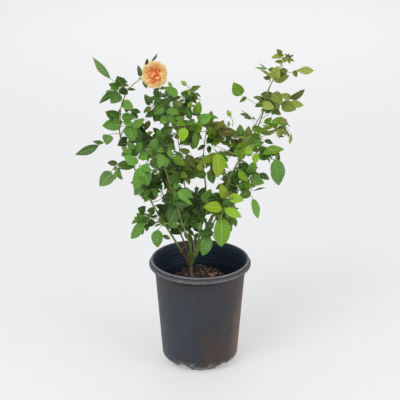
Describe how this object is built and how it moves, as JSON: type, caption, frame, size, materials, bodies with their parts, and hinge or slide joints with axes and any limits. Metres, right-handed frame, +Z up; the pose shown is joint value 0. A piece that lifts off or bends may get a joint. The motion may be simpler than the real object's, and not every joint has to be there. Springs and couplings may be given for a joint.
{
  "type": "potted rose bush",
  "caption": "Rose bush with arching canes, leafy sprays and a full rosette bloom, in a round black nursery pot with a rolled rim and lobed foot.",
  "frame": {"origin": "centre of the pot's flat underside, on the floor", "axes": "+Z up along the pot's axis, +X to the right and +Y away from the viewer in the front view"},
  "size_m": [0.5633, 0.3707, 0.7821],
  "materials": {
    "pot_plastic": "matt black nursery plastic, greyed and scuffed",
    "potting_mix": "moist dark potting mix with bark chips",
    "old_bark": "brown older bark",
    "green_bark": "smooth green bark with red-brown prickles",
    "petals": "soft apricot petals",
    "green_leaves": "semi-gloss green leaves",
    "lime_leaves": "semi-gloss young lime leaves",
    "bronze_leaves": "young olive and bronze leaves"
  },
  "bodies": {
    "root": {"pot": "pot_plastic", "potting_mix": "potting_mix", "trunk": "old_bark", "pruned_stub": "old_bark", "cane_bloom": "green_bark", "cane_top": "green_bark", "cane_centre": "green_bark", "cane_tall": "green_bark", "cane_back_left": "green_bark", "cane_back": "green_bark", "cane_back_right": "green_bark", "cane_front": "green_bark", "cane_front_right": "green_bark", "bloom": "petals", "spray_tip_left": "bronze_leaves", "spray_top_left": "green_leaves", "spray_left_high": "green_leaves", "foliage_left": "green_leaves", "spray_far_left": "green_leaves", "foliage_left_mid": "green_leaves", "spray_left_low": "green_leaves", "foliage_left_low": "green_leaves", "spray_bottom_left": "green_leaves", "spray_foot_left": "green_leaves", "foliage_top_left": "green_leaves", "foliage_top": "green_leaves", "spray_top_mid": "green_leaves", "foliage_centre_left": "green_leaves", "foliage_centre_high": "green_leaves", "foliage_inner_left": "green_leaves", "foliage_low_left": "green_leaves", "foliage_low": "green_leaves", "spray_centre": "green_leaves", "spray_lime_high": "lime_leaves", "foliage_centre_right": "green_leaves", "foliage_right_inner": "green_leaves", "foliage_right": "green_leaves", "spray_lime": "lime_leaves", "spray_lime_low": "lime_leaves", "spray_foot": "green_leaves", "foliage_low_right": "green_leaves", "spray_right_mid": "bronze_leaves", "spray_right_arm": "bronze_leaves", "spray_right_hang": "bronze_leaves", "spray_right_low": "bronze_leaves", "spray_right_high": "bronze_leaves", "spray_right_top": "bronze_leaves", "spray_tip_right": "bronze_leaves", "spray_tip_top": "bronze_leaves", "spray_lone": "green_leaves", "foliage_back_left": "green_leaves", "foliage_back_top": "green_leaves", "foliage_back_centre": "green_leaves", "foliage_back_low": "green_leaves", "foliage_back_right": "green_leaves", "foliage_back_right_low": "green_leaves", "spray_back_top_right": "green_leaves", "foliage_front_left": "green_leaves", "foliage_front": "green_leaves", "foliage_front_right": "green_leaves"}
  },
  "joints": []
}
